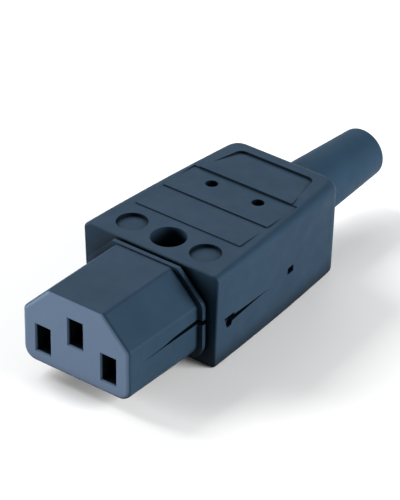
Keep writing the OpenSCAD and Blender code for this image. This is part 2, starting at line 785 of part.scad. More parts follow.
module cord_grip_screw(side) {
    screw_up([side * cord_grip_pitch / 2, cord_grip_y], cord_screw_d, cord_head_d, cord_head_h,
        bar_z + cord_head_h, body_top - cord_tip);
}
module cord_grip_screw_left() { cord_grip_screw(-1); }
module cord_grip_screw_right() { cord_grip_screw(1); }

// Housing screw: its head sits deep in the tower and its shank runs down into the nut
module housing_screw() {
    translate([0, 0, 2 * seat_z]) mirror([0, 0, 1])
        screw_up([0, screw_y], screw_d, screw_hole_d - 2 * seat_gap, screw_head_h, seat_z,
            2 * seat_z - nut_z0 + nut_inset / 2);
}

module housing_nut() {
    color(steel_color) difference() {
        translate([0, screw_y, nut_z0]) cylinder(r = nut_af / 2 / cos(30), h = nut_h, $fn = 6);
        post([0, screw_y], screw_d / 2 + thread_gap, nut_z0 - over, nut_z1 + over);
    }
}

// Bend sleeve: a neck and flange held by the shells, and a tapered tube round the cable
module bend_sleeve() {
    r0 = sleeve_d / 2;
    r1 = sleeve_tip_d / 2;
    // the rounded end leaves a quarter of its wall as a flat ring
    tip_r = min(sleeve_tip_r, (r1 - bore_r) * 0.75);
    profile = concat(
        [[bore_r, sleeve_y0], [neck_d / 2, sleeve_y0], [neck_d / 2, flange_y0], [flange_d / 2, flange_y0],
            [flange_d / 2, flange_y1], [neck_d / 2, flange_y1], [neck_d / 2, rear_y], [r0, rear_y]],
        arc([r1 - tip_r, sleeve_y1 - tip_r], tip_r, 0, 90, 6),
        [[bore_r, sleeve_y1]]);
    color(sleeve_color) translate([0, 0, part_z]) rotate([-90, 0, 0]) rotate_extrude() polygon(profile);
}

upper_shell();
lower_shell();
contact_line();
contact_neutral();
contact_earth();
spring_line();
spring_neutral();
spring_earth();
clamp_washer_line();
clamp_washer_neutral();
clamp_washer_earth();
terminal_screw_line();
terminal_screw_neutral();
terminal_screw_earth();
cord_grip_bar();
cord_grip_screw_left();
cord_grip_screw_right();
housing_screw();
housing_nut();
bend_sleeve();
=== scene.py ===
# %% [markdown]
# # A rewireable cable connector, dressed for its picture
#
# The object is a small mains connector that somebody wires with a screwdriver. It has a keyed nose with
# three slots, a grip body that is split into two half shells, and a tapered sleeve that keeps the cable from
# bending sharply. Everything electrical is inside and can only just be seen.
#
# The solids come ready-made and in place, in metres. This script never moves or resizes them. Some are kept
# and only get a finish. The others are hidden, and a mesh with softer edges, threads or an open joint stands
# for each of them. The order is: load, measure, mix the finishes, make the pieces, then set floor, light
# and camera.

import json
import math

import bmesh
import bpy
from mathutils import Matrix, Vector


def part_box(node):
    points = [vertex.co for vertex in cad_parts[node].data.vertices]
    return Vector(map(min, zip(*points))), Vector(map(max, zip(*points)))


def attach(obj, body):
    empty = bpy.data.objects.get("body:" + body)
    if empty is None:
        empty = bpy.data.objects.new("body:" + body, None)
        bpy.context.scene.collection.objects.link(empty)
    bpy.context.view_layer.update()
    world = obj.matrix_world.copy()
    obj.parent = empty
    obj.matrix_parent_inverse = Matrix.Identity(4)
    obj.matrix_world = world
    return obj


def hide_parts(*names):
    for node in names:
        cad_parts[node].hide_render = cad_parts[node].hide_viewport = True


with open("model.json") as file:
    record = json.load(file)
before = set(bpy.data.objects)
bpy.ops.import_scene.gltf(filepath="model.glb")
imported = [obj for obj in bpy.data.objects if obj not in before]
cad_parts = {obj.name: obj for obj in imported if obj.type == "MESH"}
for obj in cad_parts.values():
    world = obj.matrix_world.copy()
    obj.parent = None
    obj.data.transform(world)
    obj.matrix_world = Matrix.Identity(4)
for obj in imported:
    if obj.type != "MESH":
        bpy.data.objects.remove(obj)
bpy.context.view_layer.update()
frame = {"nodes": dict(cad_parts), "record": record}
nodes = frame["nodes"]
MM = 0.001

# %% [markdown]
# ## Where things are
#
# A few places are used again and again: the plane where the two shells meet, the shoulder where the body
# steps out behind the nose, the surface that the connector lies on, and the axis of the sleeve. They could be
# typed in, but then they would be wrong as soon as a solid changes. So they are measured. The shoulder is the
# foremost point of the shell that lies further out than the collar does.

# %% Places measured from the solids
upper_low, upper_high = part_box("upper_shell")
lower_low, lower_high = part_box("lower_shell")
sleeve_low, sleeve_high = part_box("bend_sleeve")

PART_Z = upper_low.z
FLOOR_Z = lower_low.z
SLEEVE_Z = (sleeve_low.z + sleeve_high.z) / 2
PAST_COLLAR_X = 13 * MM
outer_points = [v.co for v in nodes["upper_shell"].data.vertices if v.co.x > PAST_COLLAR_X]
SHOULDER_MM = round(min(p.y for p in outer_points) / MM, 3)
print("in mm: joint at z", round(PART_Z / MM, 2), "shoulder at y", SHOULDER_MM,
      "rear face at y", round(upper_high.y / MM, 2))

# %% [markdown]
# ## Finishes
#
# A finish is a tree of nodes that ends in a shader. It could be painted on an unwrapped surface, but the real
# moulding has no drawing on it, only unevenness. So each finish is worked out from the place of a point in
# the object's own space. That needs no unwrapping, and the pattern stays put when the view changes.
#
# One finish is started for each material that the solids' record lists. What is the same all over a surface
# is typed into the shader's own sockets, and only what varies comes through a link.

# %% One empty finish for each material
def new_finish(name):
    """A material whose tree holds only a shader and its output."""
    finish = bpy.data.materials.new(name)
    finish.use_nodes = True
    tree = finish.node_tree
    tree.nodes.clear()
    out = tree.nodes.new("ShaderNodeOutputMaterial")
    shader = tree.nodes.new("ShaderNodeBsdfPrincipled")
    tree.links.new(shader.outputs["BSDF"], out.inputs["Surface"])
    return finish, tree, shader


finishes = {m["slot"]: new_finish(m["slot"]) for m in frame["record"]["materials"]}
print("finishes to fill:", ", ".join(finishes))

# %% [markdown]
# ### Cloudy colour
#
# The shells are a dark blue-grey plastic with short glass fibres in it. The fibres gather unevenly as the
# melt flows, so the colour drifts between two close shades over several millimetres. Noise drifts in the same
# way. It needs coordinates that are fixed to the object, here in millimetres, so that its scale says how many
# features fall on a millimetre.

# %% Noise fixed to the object
def own_space(tree, stretch=(1, 1, 1)):
    """Coordinates fixed to the object, in millimetres, stretched along each axis if asked."""
    coords = tree.nodes.new("ShaderNodeTexCoord")
    mapping = tree.nodes.new("ShaderNodeMapping")
    mapping.inputs["Scale"].default_value = [s / MM for s in stretch]
    tree.links.new(coords.outputs["Object"], mapping.inputs["Vector"])
    return mapping.outputs["Vector"]


def noise(tree, space, scale, detail, roughness=0.5):
    """Noise with scale features to a millimetre, from 0 to 1."""
    node = tree.nodes.new("ShaderNodeTexNoise")
    node.inputs["Scale"].default_value = scale
    node.inputs["Detail"].default_value = detail
    node.inputs["Roughness"].default_value = roughness
    tree.links.new(space, node.inputs["Vector"])
    return node.outputs["Fac"]


CLOUD_SCALE = 0.12
print("clouds about", round(1 / CLOUD_SCALE), "mm across")

# %% [markdown]
# Noise runs from 0 to 1, but mostly between 0.3 and 0.7. So its usual range is spread over the whole range
# that is wanted, before it blends one shade into the other. Blending by noise alone would leave both shades
# half mixed everywhere.

# %% Spread, blend, and the clouds made of them
def spread(tree, value, low, high, from_low=0.3, from_high=0.7):
    """value, as it runs from from_low to from_high, put on the range from low to high."""
    node = tree.nodes.new("ShaderNodeMapRange")
    node.inputs["From Min"].default_value = from_low
    node.inputs["From Max"].default_value = from_high
    node.inputs["To Min"].default_value = low
    node.inputs["To Max"].default_value = high
    tree.links.new(value, node.inputs["Value"])
    return node.outputs["Result"]


def blend(tree, factor, under, over):
    """The colour over laid on the colour under, by factor. Either may be a colour or a socket."""
    node = tree.nodes.new("ShaderNodeMix")
    node.data_type = "RGBA"
    tree.links.new(factor, node.inputs["Factor"])
    for side, color in (("A", under), ("B", over)):
        if isinstance(color, tuple):
            node.inputs[side].default_value = (*color, 1)
        else:
            tree.links.new(color, node.inputs[side])
    return node.outputs["Result"]


def clouds(tree, space, base, cloud):
    """A colour that drifts between two shades."""
    return blend(tree, spread(tree, noise(tree, space, CLOUD_SCALE, 4.0), 0, 1), base, cloud)


SHELL_BLUE, SHELL_CLOUD = (0.0145, 0.0320, 0.0550), (0.0185, 0.0385, 0.0650)
print("the paler shade is", round(sum(SHELL_CLOUD) / sum(SHELL_BLUE), 2), "times as bright")

# %% [markdown]
# ### Painted light on the mating face and painted shadow on the shoulder
#
# The flat front of the nose is painted paler and greyer than the rest: painted light, for the lamp low in
# front.
# The shoulder behind the collar is painted darker: painted shadow, where the nose shades it. Both are thin
# bands along Y. They could be faces with a finish of their own, but their colour runs out softly round the
# edges. So they are part of the same finish: the distance from a plane decides how much colour is laid on.

# %% Distance from a plane
def sums(tree, operation, first, second=0.0):
    """The result of a sum on a socket and a second socket or number."""
    node = tree.nodes.new("ShaderNodeMath")
    node.operation = operation
    tree.links.new(first, node.inputs[0])
    if isinstance(second, float):
        node.inputs[1].default_value = second
    else:
        tree.links.new(second, node.inputs[1])
    return node.outputs[0]


def off_plane(tree, space, axis, place):
    """Distance in millimetres from a plane across that axis."""
    split = tree.nodes.new("ShaderNodeSeparateXYZ")
    tree.links.new(space, split.inputs[0])
    return sums(tree, "ABSOLUTE", sums(tree, "SUBTRACT", split.outputs[axis], place))


print("planes at y 0 and", SHOULDER_MM, "mm")

# %% [markdown]
# Each band is full up to a small distance from its plane and gone at a larger one. The pale band reaches just
# past the round at the rim of the face, so that the round is pale too and the side behind it is not.

# %% Bands of colour on the shells
# Painted light for the mating face and painted shadow for the shoulder, each with the width of its band.
FACE_PAINTED_LIGHT = (0.082, 0.117, 0.176)
FACE_BAND = (0.16, 0.30)
SHOULDER_PAINTED_SHADOW = (0.0075, 0.0185, 0.0320)
SHOULDER_BAND = (0.05, 0.30)


def painted_light_bands(tree, space, color):
    """The painted light on the mating face and the painted shadow on the shoulder, laid over a colour."""
    for place, band, paint in ((0.0, FACE_BAND, FACE_PAINTED_LIGHT), (SHOULDER_MM, SHOULDER_BAND, SHOULDER_PAINTED_SHADOW)):
        near = spread(tree, off_plane(tree, space, "Y", place), 1, 0, *band)
        color = blend(tree, near, color, paint)
    return color


print("pale band ends", FACE_BAND[1], "mm behind the mating face")

# %% [markdown]
# ### Painted shade in the hollows
#
# Slots, screw holes and the steps of the finger grips get little light, so their colour is painted darker:
# painted shade. The Ambient Occlusion node tells how open a place is, from 0 deep in a hole to 1 on a free
# surface. It looks at what stands within a few millimetres, the floor and the other parts too. So it finds
# the hollows of any shape, the lower sides near the floor and the joints between parts, and needs no mask.
# It could also be turned to show worn edges, but on this soft grain the wear is in the gloss instead.

# %% Painted shade in hollows
# The colour of the painted shade, and how far round a point the node looks for what closes it in.
HOLLOW_PAINTED_SHADE = (0.0015, 0.0030, 0.0048)
PAINTED_SHADE_REACH = 6 * MM
CLOSED, OPEN = 0.44, 0.88


def painted_shade_in_hollows(tree, color):
    """A colour with painted shade where the surface is closed in."""
    node = tree.nodes.new("ShaderNodeAmbientOcclusion")
    node.samples = 8
    node.inputs["Distance"].default_value = PAINTED_SHADE_REACH
    return blend(tree, spread(tree, node.outputs["AO"], 1, 0, CLOSED, OPEN), color, HOLLOW_PAINTED_SHADE)


print("painted_shade looks", round(PAINTED_SHADE_REACH / MM), "mm around")

# %% [markdown]
# ### Worn gloss
#
# A spark-eroded mould gives an even satin. Fingers polish it in patches, and every edge that the connector
# was drawn over left short scuffs across it. Both change the gloss and hardly the colour, so they go into
# the roughness: patches of noise, plus streaks of noise that is pulled out along X and squeezed along Y.

# %% Polished patches and scuffs
PATCH_SCALE = 0.35
PATCH_CHANGE = 0.05
SCUFF_STRETCH = (0.25, 1.6, 0.9)
SCUFF_SCALE = 2.2
SCUFF_RANGE = (0.66, 0.80)
SCUFF_ROUGH = 0.10


def worn_gloss(tree, space, rough):
    """Roughness that varies in patches about rough, and is higher in thin scuffs."""
    patches = spread(tree, noise(tree, space, PATCH_SCALE, 3.0), rough - PATCH_CHANGE, rough + PATCH_CHANGE)
    streaks = noise(tree, own_space(tree, SCUFF_STRETCH), SCUFF_SCALE, 2.0)
    return sums(tree, "ADD", patches, spread(tree, streaks, 0, SCUFF_ROUGH, *SCUFF_RANGE))


print("polished patches about", round(1 / PATCH_SCALE, 1), "mm across")

# %% [markdown]
# ### Sink and grain
#
# Thick walls sink a little as they cool, which bends a reflection gently over several millimetres. On top of
# that lies the grain of the mould, about a tenth of a millimetre wide. Neither is worth any faces. A Bump
# node tilts the shading by a height instead, and one bump can lie on another.

# %% Two bumps, one on the other
SINK_SCALE = 0.25
SINK_HEIGHT = 0.02 * MM
GRAIN_SCALE = 9.0


def bump(tree, height, distance, strength, below=None):
    """A bump that is distance high in metres, on top of another if one is given."""
    node = tree.nodes.new("ShaderNodeBump")
    node.inputs["Distance"].default_value = distance
    node.inputs["Strength"].default_value = strength
    tree.links.new(height, node.inputs["Height"])
    if below:
        tree.links.new(below, node.inputs["Normal"])
    return node.outputs["Normal"]


def sink_and_grain(tree, space, grain):
    """The slow sink of thick walls, and the mould's grain on top of it."""
    sunk = bump(tree, noise(tree, space, SINK_SCALE, 1.0), SINK_HEIGHT, 0.5)
    return bump(tree, noise(tree, space, GRAIN_SCALE, 2.0, 0.6), grain, 0.5, sunk)


print("grain about", round(1 / GRAIN_SCALE, 2), "mm wide")

# %% [markdown]
# ### The three moulded finishes
#
# Shells, sleeve and cord grip bar are all moulded, so one function lays the steps above on each of them. The
# glass-filled shells mirror very little, and what they mirror is tinted like the sky. The sleeve is softer
# and a bit lighter, and where its two mould halves met there is a seam along both sides: a low ridge, which
# is one more bump on the plane through the sleeve's axis. The bar is plain black plastic.

# %% Shell plastic, sleeve rubber and bar plastic
SKY_TINT = (0.45, 0.75, 1.0)
PALE_TINT = (0.80, 0.90, 1.0)
SEAM_BAND = (0.05, 0.20)
SEAM_HEIGHT = 0.05 * MM


def moulded(slot, base, cloud, rough, grain, specular, tint, bands=None, seam_at=None):
    """Fills a finish with cloudy colour, painted shade in hollows, worn gloss, sink and grain."""
    finish, tree, shader = finishes[slot]
    space = own_space(tree)
    color = clouds(tree, space, base, cloud)
    if bands:
        color = bands(tree, space, color)
    normal = sink_and_grain(tree, space, grain)
    if seam_at is not None:
        ridge = spread(tree, off_plane(tree, space, "Z", seam_at), 1, 0, *SEAM_BAND)
        normal = bump(tree, ridge, SEAM_HEIGHT, 0.8, normal)
    # Base colour with painted shade in the hollows, near the floor and between parts.
    tree.links.new(painted_shade_in_hollows(tree, color), shader.inputs["Base Color"])
    tree.links.new(worn_gloss(tree, space, rough), shader.inputs["Roughness"])
    tree.links.new(normal, shader.inputs["Normal"])
    shader.inputs["Specular IOR Level"].default_value = specular
    shader.inputs["Specular Tint"].default_value = (*tint, 1)
    print(slot, "has", len(tree.nodes), "nodes")


moulded("shell_plastic", SHELL_BLUE, SHELL_CLOUD, rough=0.58, grain=0.010 * MM,
        specular=0.14, tint=SKY_TINT, bands=painted_light_bands)
moulded("sleeve_rubber", (0.0175, 0.0390, 0.0660), (0.0215, 0.0455, 0.0760), rough=0.60, grain=0.008 * MM,
        specular=0.08, tint=SKY_TINT, seam_at=SLEEVE_Z / MM)
moulded("bar_plastic", (0.012, 0.016, 0.020), (0.016, 0.021, 0.026), rough=0.50, grain=0.012 * MM,
        specular=0.50, tint=PALE_TINT)

# %% [markdown]
# ### Stamped and plated metal
#
# Metals differ in the marks of how they were made. Rolled brass and spring strip have fine lines along the
# strip, and zinc plate is a little mottled. The lines are noise that is pulled thirty times along one axis.
# They vary the roughness and tilt the surface by a few thousandths of a millimetre, which is enough to draw
# a highlight out into a streak.

# %% Brass, spring steel and zinc plate
LINE_PULL = 1 / 30
LINE_SCALE = 12.0
SMOOTHER, ROUGHER = 0.06, 0.08
MOTTLE_SCALE = 1.5


def metal(slot, base, dull, rough, pull, line_depth):
    """Fills a finish with metal that is mottled and has fine lines along the axis pull, 0 to 2 for X to Z."""
    finish, tree, shader = finishes[slot]
    lines = noise(tree, own_space(tree, [LINE_PULL if axis == pull else 1.0 for axis in range(3)]),
                  LINE_SCALE, 2.0)
    mottle = noise(tree, own_space(tree), MOTTLE_SCALE, 3.0)
    tree.links.new(blend(tree, spread(tree, mottle, 0, 1), base, dull), shader.inputs["Base Color"])
    tree.links.new(spread(tree, lines, rough - SMOOTHER, rough + ROUGHER), shader.inputs["Roughness"])
    tree.links.new(bump(tree, lines, line_depth, 0.6), shader.inputs["Normal"])
    shader.inputs["Metallic"].default_value = 1.0
    print(slot, "has", len(tree.nodes), "nodes")


metal("contact_brass", (0.60, 0.42, 0.16), (0.46, 0.31, 0.11), rough=0.30, pull=1, line_depth=0.004 * MM)
metal("spring_steel", (0.52, 0.53, 0.55), (0.44, 0.45, 0.47), rough=0.25, pull=0, line_depth=0.003 * MM)
metal("screw_steel", (0.58, 0.60, 0.63), (0.48, 0.50, 0.53), rough=0.34, pull=2, line_depth=0.002 * MM)

# %% [markdown]
# ## The two half shells
#
# ### A clean copy of a solid
#
# A solid comes as flat triangles. Before anything can be cut or rounded, points that fall together are joined
# and triangles that lie in one plane are merged, so that an edge is an edge and a face is a face. A copy is
# worked on, because the solid itself has to stay as it is.

# %% Clean copies
SAME_POINT = 0.002 * MM
SAME_PLANE = math.radians(0.1)


def clean(bm):
    """Joins doubled points and merges faces that lie in one plane."""
    bmesh.ops.remove_doubles(bm, verts=bm.verts, dist=SAME_POINT)
    bmesh.ops.dissolve_limit(bm, angle_limit=SAME_PLANE, verts=bm.verts, edges=bm.edges)


def clean_copy(node):
    """A bmesh of a solid, cleaned."""
    bm = bmesh.new()
    bm.from_mesh(nodes[node].data)
    clean(bm)
    return bm


upper_mesh, lower_mesh = clean_copy("upper_shell"), clean_copy("lower_shell")
print("shells cleaned to", len(upper_mesh.faces), "and", len(lower_mesh.faces), "faces")

# %% [markdown]
# ### The joint that gapes
#
# A single screw behind the shoulder pulls the halves together, so the joint isn't equally tight everywhere.
# On the nose it opens like a wedge towards the shoulder. On the body it is open behind the pry notch, then
# runs down a little and closes. A dark line in the colour would look flat from close by, so the gap is cut.
# What cuts it is a mesh of its own. One function builds all the cutters here from rings of points, because a
# wedge is two rings with caps on them, and a ring-shaped cutter is several rings that are joined in a circle.

# %% Cutters from rings of points
def cutter(name, rings, capped):
    """An object from rings of points in metres: joined in a circle, or capped at both ends."""
    bm = bmesh.new()
    rows = [[bm.verts.new(p) for p in ring] for ring in rings]
    joined = list(zip(rows, rows[1:])) + ([] if capped else [(rows[-1], rows[0])])
    for a, b in joined:
        for i in range(len(a)):
            j = (i + 1) % len(a)
            bm.faces.new((a[i], a[j], b[j], b[i]))
    if capped:
        bm.faces.new(rows[0])
        bm.faces.new(rows[-1])
    bmesh.ops.recalc_face_normals(bm, faces=bm.faces)
    mesh = bpy.data.meshes.new(name)
    bm.to_mesh(mesh)
    bm.free()
    return bpy.data.objects.new(name, mesh)


print("heights of the gaps count from the joint, at", round(PART_Z / MM, 2), "mm")

# %% [markdown]
# Each wedge is a prism along X over an outline in Y and Z, with Z measured from the joint's plane. It stops
# inside the wall and is cut from one half alone: the nose's from the upper half, the body's from the lower.
# The outlines cross the plane a little, so that no thin flap is left where the gap is open.

# %% Wedges for the gaps
NOSE_GAP = [(3.4, -0.3), (3.4, 0.0), (8.5, 0.2), (12, 0.65), (SHOULDER_MM + 0.1, 1.0),
            (SHOULDER_MM + 0.1, -0.3)]
NOSE_GAP_X = (10.2, 13.0)
BODY_GAP = [(22.4, 0.3), (22.4, -1.5), (25, -1.45), (27, -1.3), (30, -1.1), (35, -0.95), (30, -0.7),
            (27, -0.55), (24.5, -0.4), (23.5, 0.3)]
BODY_GAP_X = (12.6, 15.5)


def gap_cutters(outline, inner, outer):
    """The same wedge on the left and on the right."""
    sides = [[[(x * MM, y * MM, PART_Z + z * MM) for y, z in outline] for x in ends]
             for ends in ((-outer, -inner), (inner, outer))]
    return [cutter("gap", side, capped=True) for side in sides]


nose_gaps = gap_cutters(NOSE_GAP, *NOSE_GAP_X)
body_gaps = gap_cutters(BODY_GAP, *BODY_GAP_X)
print("gap cutters:", len(nose_gaps) + len(body_gaps))

# %% [markdown]
# ### The groove behind the collar
#
# A narrow groove parts the stop collar from the shoulder, and it reads as a black line round the root of the
# nose. It follows the nose's outline, which has two large cuts above and two small ones below. The cutter is
# a ring: an inner outline for the groove's bed, a wide one past everything outside, and both at the front and
# at the back of the groove.

# %% Ring that cuts the groove
GROOVE_WIDTH = 0.7
PAST_SHOULDER = 0.02
FLAT_BELOW, FLAT_ABOVE = 9.4, 6.65
SIDE_FROM, SIDE_TO = -3.0, 5.0


def keyed_outline(half, low, high):
    """The nose's outline in X and Z, with its sides, its underside and its top moved to these places."""
    right = [(FLAT_BELOW, low), (half, SIDE_FROM), (half, SIDE_TO), (FLAT_ABOVE, high)]
    return [(-FLAT_BELOW, low)] + right + [(-x, z) for x, z in right[:0:-1]]


def groove_cutter():
    """A ring round the nose, from the groove's front to just behind the shoulder's face."""
    front, back = SHOULDER_MM - GROOVE_WIDTH, SHOULDER_MM + PAST_SHOULDER
    bed, rim = keyed_outline(11.65, -5.2, 10.0), keyed_outline(20.0, -12.0, 16.0)
    corners = ((front, bed), (front, rim), (back, rim), (back, bed))
    return cutter("groove", [[(x * MM, y * MM, z * MM) for x, z in outline] for y, outline in corners],
                  capped=False)


print("groove", GROOVE_WIDTH, "mm wide in front of the shoulder")

# %% [markdown]
# ### Cutting
#
# A boolean modifier takes one mesh from another. The exact solver is slower than the fast one, but it copes
# with faces that lie in one plane, as the shells' joint faces do. The modifier needs objects in the scene,
# so they are linked for a moment, the result is read back, and all of them are removed again.

# %% Cut the gaps and the groove
def carve(bm, cutters):
    """bm without what the cutters hold, cleaned again."""
    mesh = bpy.data.meshes.new("carved")
    bm.to_mesh(mesh)
    bm.free()
    body = bpy.data.objects.new("carved", mesh)
    for part in [body] + cutters:
        bpy.context.scene.collection.objects.link(part)
    for tool in cutters:
        cut = body.modifiers.new("cut", "BOOLEAN")
        cut.operation = "DIFFERENCE"
        cut.solver = "EXACT"
        cut.object = tool
    result = bmesh.new()
    result.from_mesh(body.evaluated_get(bpy.context.evaluated_depsgraph_get()).data)
    for part in [body] + cutters:
        bpy.data.objects.remove(part)
    clean(result)
    return result


upper_mesh = carve(upper_mesh, [groove_cutter()] + nose_gaps)
lower_mesh = carve(lower_mesh, [groove_cutter()] + body_gaps)
print("after the cuts:", len(upper_mesh.faces), "and", len(lower_mesh.faces), "faces")

# %% [markdown]
# ### Round edges
#
# No moulded or machined part has razor-sharp edges: a mould is polished, a sheet is deburred. The light
# catches these narrow rounds, and that is most of what makes a small part look real. A bevel modifier would
# do, but bevelling the mesh itself leaves a list of the faces that it made. They are marked as soft in a
# layer of the mesh, which the next step needs.

# %% Bevel the sharp edges
CREASE = math.radians(32)
EDGE_ROUND = 0.16 * MM


def soft_layer(bm):
    """The layer that marks the faces of rounds."""
    return bm.faces.layers.int.get("soft") or bm.faces.layers.int.new("soft")


def round_edges(bm, width, segments=2, keep=None):
    """Rounds the sharp edges of bm, or those of them that keep(edge) picks, and says how many."""
    soft = soft_layer(bm)
    sharp = [e for e in bm.edges if len(e.link_faces) == 2 and e.calc_face_angle(0.0) > CREASE]
    chosen = [e for e in sharp if keep is None or keep(e)]
    made = bmesh.ops.bevel(bm, geom=chosen, offset=width, segments=segments, profile=0.5, affect="EDGES",
                           clamp_overlap=True, miter_outer="ARC")
    for face in made["faces"]:
        face[soft] = 1
    return len(chosen)


print("edges rounded:", round_edges(upper_mesh, EDGE_ROUND), "and", round_edges(lower_mesh, EDGE_ROUND))

# %% [markdown]
# ### Normals for rounds between planes
#
# A finished piece needs smooth shading over its rounds and flat shading over its planes. Blender can average
# the normals round each point, but then a large plane bends towards each small hole in it, and star-shaped
# streaks show in a low light. So each corner of each face gets its own normal, in two steps. First each edge
# is called smooth or not: smooth inside a plane, and over the small turns of a round or a curved wall.

# %% Smooth edges
FLAT = math.radians(5)
LEVEL = math.radians(0.05)


def is_smooth(edge):
    """True inside a plane, and over the gentle turns of a round. False between plane and curve."""
    bend = edge.calc_face_angle(0.0)
    return len(edge.link_faces) == 2 and (bend < LEVEL or FLAT < bend < CREASE)


for half in (upper_mesh, lower_mesh):
    print("smooth edges:", sum(is_smooth(e) for e in half.edges), "of", len(half.edges))

# %% [markdown]
# Then the normals are shared. Round a point, the faces that meet in smooth edges form a fan and have one
# normal. The faces of a round have no say in it if a face of the solid is in the fan. So a plane stays plane
# up to its very edge, and the narrow round bends from one plane to the next.

# %% Shared normals
def soft_fan(point, face, left):
    """The faces of left round a point that hang together with face through smooth edges."""
    fan = [face]
    for near in fan:
        for e in near.edges:
            if point in e.verts and e.smooth:
                found = [f for f in e.link_faces if f in left]
                left.difference_update(found)
                fan.extend(found)
    return fan


def share_normals(bm):
    """One normal for each face and point: the mean of the solid's own faces round it, by their area."""
    soft = soft_layer(bm)
    size = bm.faces.layers.float["size"]
    normals = {}
    for point in bm.verts:
        left = set(point.link_faces)
        while left:
            fan = soft_fan(point, left.pop(), left)
            voices = [f for f in fan if not f[soft]] or fan
            mean = sum((f.normal * f[size] for f in voices), Vector()).normalized()
            normals.update({(f.index, point.index): mean for f in fan})
    return normals


print("faces of rounds:", sum(f[soft_layer(upper_mesh)] for f in upper_mesh.faces), "on the upper shell")

# %% [markdown]
# ### From mesh to piece
#
# A piece is an object that stands for a solid. The solid is hidden but still counts for weight and contact,
# and the piece rides on the connector in its place. Faces with many corners are cut into triangles first,
# because normals of one's own on a large face with holes in it would be spread unevenly. Each face's area is
# noted before that, so that all triangles of one face speak with its whole weight.

# %% Make a piece
def make_piece(bm, name, node, slot):
    """Turns bm into a piece that stands for a node, with the finish of that slot."""
    bm.normal_update()
    size = bm.faces.layers.float.new("size")
    for face in bm.faces:
        face[size] = face.calc_area() / MM ** 2 + 1e-6
    bmesh.ops.triangulate(bm, faces=[f for f in bm.faces if len(f.verts) > 4], ngon_method="BEAUTY")
    bm.normal_update()
    bm.verts.index_update()
    bm.faces.index_update()
    for edge in bm.edges:
        edge.smooth = is_smooth(edge)
    normals = share_normals(bm)
    mesh = bpy.data.meshes.new(name)
    bm.to_mesh(mesh)
    bm.free()
    mesh.shade_smooth()
    mesh.normals_split_custom_set([normals[p.index, mesh.loops[i].vertex_index]
                                   for p in mesh.polygons for i in p.loop_indices])
    mesh.materials.append(finishes[slot][0])
    piece = bpy.data.objects.new(name, mesh)
    bpy.context.scene.collection.objects.link(piece)
    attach(piece, "root")
    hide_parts(node)
    return piece


for node, shell_mesh in (("upper_shell", upper_mesh), ("lower_shell", lower_mesh)):
    shell = make_piece(shell_mesh, node + "_moulded", node, "shell_plastic")
    print(shell.name, "has", len(shell.data.polygons), "faces")

# %% [markdown]
# ## The bend sleeve
#
# The sleeve is moulded from soft, rubber-like plastic and slips over the cable. Its free end is well rounded,
# because a sharp lip would cut into the cable where it bends. The solid has that round already, so only its
# remaining edges are rounded, more than on the shells and in three steps. Its seam is part of its finish.

# %% Sleeve
SLEEVE_ROUND = 0.25 * MM

sleeve_mesh = clean_copy("bend_sleeve")
round_edges(sleeve_mesh, SLEEVE_ROUND, segments=3)
sleeve = make_piece(sleeve_mesh, "bend_sleeve_moulded", "bend_sleeve", "sleeve_rubber")
print(sleeve.name, "has", len(sleeve.data.polygons), "faces")

# %% [markdown]
# ## Screws and nut
#
# ### A thread
#
# The solids carry plain shanks where the real screws have threads. A thread is a ridge that climbs one pitch
# for every turn, so the radius at any height and angle follows from both. A screw modifier could sweep a
# profile round the axis, but its ends need trimming. Here a skin is laid over rings of points, and each
# point's radius comes from the same formula. Screws and nut use it alike, so ridges and grooves fit.

# %% Thread and skin
THREAD_DEPTH = 0.27 * MM
ROOT_SHARE = 0.14
FLANK_SHARE = 0.72
RINGS_A_TURN = 8


def thread_height(z, angle, pitch):
    """Height of the ridge there, from 0 on the flattened root to 1 on the flattened crest."""
    turn = (z / pitch - angle / math.tau) % 1
    return min(1, max(0, (1 - abs(2 * turn - 1) - ROOT_SHARE) / FLANK_SHARE))


def skin(bm, rings):
    """Joins rings of points, each closed and equally long, into one surface."""
    rows = [[bm.verts.new(p) for p in ring] for ring in rings]
    for a, b in zip(rows, rows[1:]):
        for i in range(len(a)):
            j = (i + 1) % len(a)
            bm.faces.new((a[i], a[j], b[j], b[i]))
    return rows


print("thread", THREAD_DEPTH / MM, "mm deep")

# %% [markdown]
# ### Measuring a screw
#
# Each screw stands upright, but some have the head on top and some hang head down. The solid tells all that
# is needed. The points that are furthest out form the head's rim. The end that is nearer to that rim is the
# one with the drive, and what lies past the head belongs to the shank.

# %% Measure the screws
def measure_screw(node):
    """Axis, head radius, shank radius, and the heights of the drive end, the bearing face and the tip."""
    low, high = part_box(node)
    x, y = (low.x + high.x) / 2, (low.y + high.y) / 2
    spots = [(v.co.z, math.hypot(v.co.x - x, v.co.y - y)) for v in nodes[node].data.vertices]
    head_r = max(r for z, r in spots)
    head = [z for z, r in spots if r > head_r * 0.99]
    head_up = min(head) - low.z > high.z - max(head)
    start, face, tip = (max(head), min(head), low.z) if head_up else (min(head), max(head), high.z)
    shank_r = max(r for z, r in spots if (z - face) * (tip - face) > (0.1 * MM) ** 2)
    return Vector((x, y)), head_r, shank_r, start, face, tip


TERMINALS = ("line", "neutral", "earth")
PITCHES = {"terminal_screw_" + t: 0.5 * MM for t in TERMINALS}
PITCHES.update({"cord_grip_screw_left": 0.45 * MM, "cord_grip_screw_right": 0.45 * MM,
                "housing_screw": 0.5 * MM})
for node in PITCHES:
    axis, head_r, shank_r, start, face, tip = measure_screw(node)
    print(node, "shank", round(2 * shank_r / MM, 1), "by", round(abs(tip - face) / MM, 1), "mm")

# %% [markdown]
# ### Heads
#
# The head of each screw comes from the solid, with its cross recess. Everything past its bearing face is cut
# off and the hole is closed. The rim gets a large round and every other edge a small one, as if it had been
# tumbled with others to take the burrs off.

# %% Screw heads
RIM_ROUND = 0.3 * MM
BURR_ROUND = 0.06 * MM
JUST_PAST = 0.005 * MM


